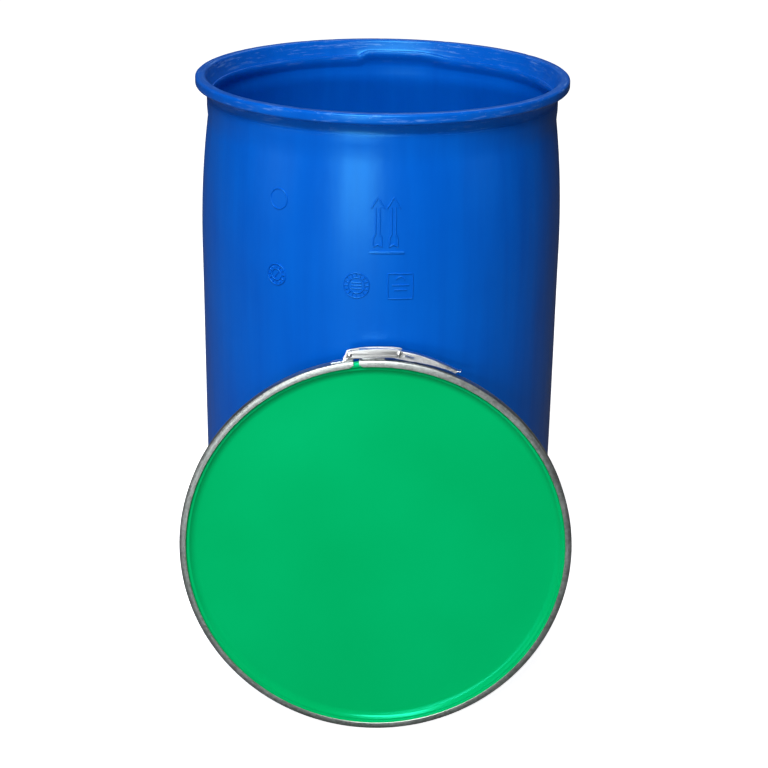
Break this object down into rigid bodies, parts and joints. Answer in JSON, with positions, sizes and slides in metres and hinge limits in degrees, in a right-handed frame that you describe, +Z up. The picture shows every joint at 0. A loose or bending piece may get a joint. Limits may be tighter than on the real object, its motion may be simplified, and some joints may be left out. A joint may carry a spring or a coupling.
{
  "type": "open head drum",
  "caption": "Tall round plastic drum with a rolled open rim, shown open, its flat lid leaning in front inside a steel clamp ring closed by an over-centre lever.",
  "frame": {"origin": "on the floor, under the middle of the bounding box of the drum and its leaning lid; the drum's own axis is 50 mm behind it", "axes": "+Z up along the drum's axis, +X to the right, -Y towards the front, where the lid leans"},
  "size_m": [0.597, 0.6875, 0.955],
  "materials": {
    "drum_blue": "satin moulded",
    "lid_green": "satin moulded",
    "gasket": "matt",
    "ring_steel": "galvanised, satin",
    "link_steel": "brushed lengthwise",
    "rivet_steel": "zinc plated"
  },
  "bodies": {
    "drum": {"drum_body": "drum_blue"},
    "lid": {"lid": "lid_green", "lid_gasket": "gasket", "clamp_ring_base": "ring_steel"},
    "ring_left": {"clamp_ring_left": "ring_steel", "hinge_bracket": "ring_steel", "ring_end_rivet": "rivet_steel"},
    "ring_right": {"clamp_ring_right": "ring_steel", "lever_bracket": "ring_steel", "lever_pivot_rivet": "rivet_steel"},
    "lever": {"lever": "ring_steel", "link_rivet": "rivet_steel"},
    "link": {"link_front": "link_steel", "link_rear": "link_steel", "ring_end_head_front": "rivet_steel", "ring_end_head_rear": "rivet_steel"}
  },
  "joints": [
    {"name": "lid_tip", "type": "hinge", "parent": "drum", "child": "lid", "pos_m": [0, -0.34386, 0.00261], "axis": [1, 0, 0], "range_deg": [0, 96]},
    {"name": "ring_left_open", "type": "hinge", "parent": "lid", "child": "ring_left", "pos_m": [-0.05823, -0.3313, 0.00701], "axis": [0, -0.9941, 0.1089], "range_deg": [0, 4.5]},
    {"name": "ring_right_open", "type": "hinge", "parent": "lid", "child": "ring_right", "pos_m": [0.05823, -0.3313, 0.00701], "axis": [0, -0.9941, 0.1089], "range_deg": [-4.5, 0]},
    {"name": "lever_swing", "type": "hinge", "parent": "ring_right", "child": "lever", "pos_m": [-0.02443, -0.26616, 0.60184], "axis": [0, -0.9941, 0.1089], "range_deg": [0, 150]},
    {"name": "link_swing", "type": "hinge", "parent": "lever", "child": "link", "pos_m": [0.03101, -0.26591, 0.60414], "axis": [0, -0.9941, 0.1089], "range_deg": [-119.1, 0]}
  ],
  "couplings": [
    {"joint": "ring_left_open", "follows": "lever_swing", "ratio": 0.029725},
    {"joint": "ring_right_open", "follows": "lever_swing", "ratio": -0.029725},
    {"joint": "link_swing", "follows": "lever_swing", "ratio": -0.79294}
  ]
}
